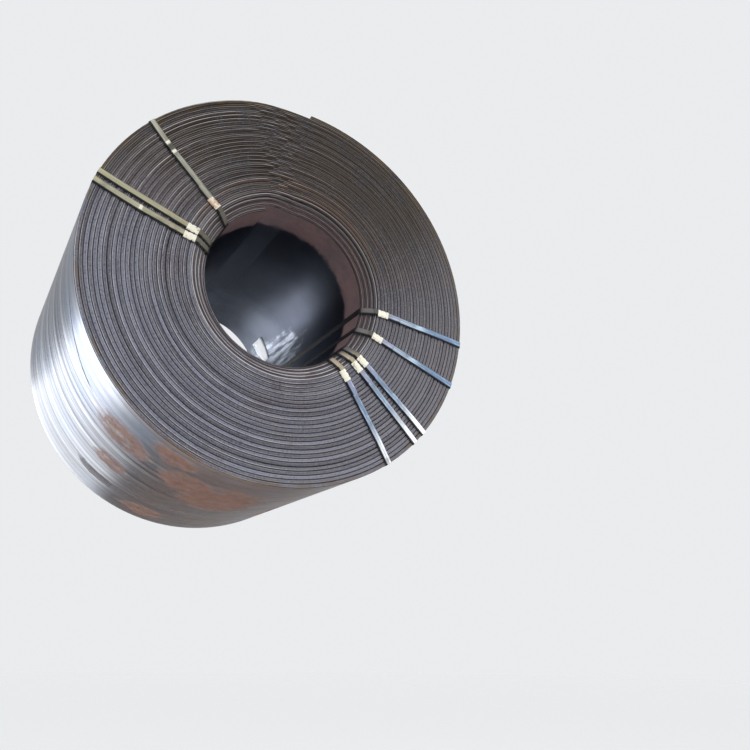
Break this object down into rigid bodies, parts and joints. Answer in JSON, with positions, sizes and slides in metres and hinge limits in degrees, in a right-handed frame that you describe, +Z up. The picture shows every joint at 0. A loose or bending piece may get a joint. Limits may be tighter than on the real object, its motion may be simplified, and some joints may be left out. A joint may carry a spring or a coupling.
{
  "type": "steel strip coil",
  "caption": "Strapped coil of hot-rolled steel strip lying on its side, with an open round eye, slipped inner turns, flat steel straps with crimped seals and a blank tag in the eye.",
  "frame": {"origin": "on the axis of the eye, halfway along the width of the strip", "axes": "+Y along the eye from the near end to the far end, +Z up, +X to the right seen from the near end"},
  "size_m": [1.8582, 1.4863, 1.8553],
  "materials": {
    "strip": "dark mill scale with scratches and light rust",
    "strap": "blued steel strapping",
    "seal": "zinc-coated sheet",
    "tag": "blank white plastic"
  },
  "bodies": {
    "root": {"strip_coil": "strip", "strap_1": "strap", "strap_2": "strap", "strap_3": "strap", "strap_4": "strap", "strap_5": "strap", "strap_6": "strap", "strap_7": "strap", "strap_8": "strap", "seal_1": "seal", "seal_2": "seal", "seal_3": "seal", "seal_4": "seal", "seal_5": "seal", "seal_6": "seal", "seal_7": "seal", "seal_8": "seal", "coil_tag": "tag"}
  },
  "joints": []
}
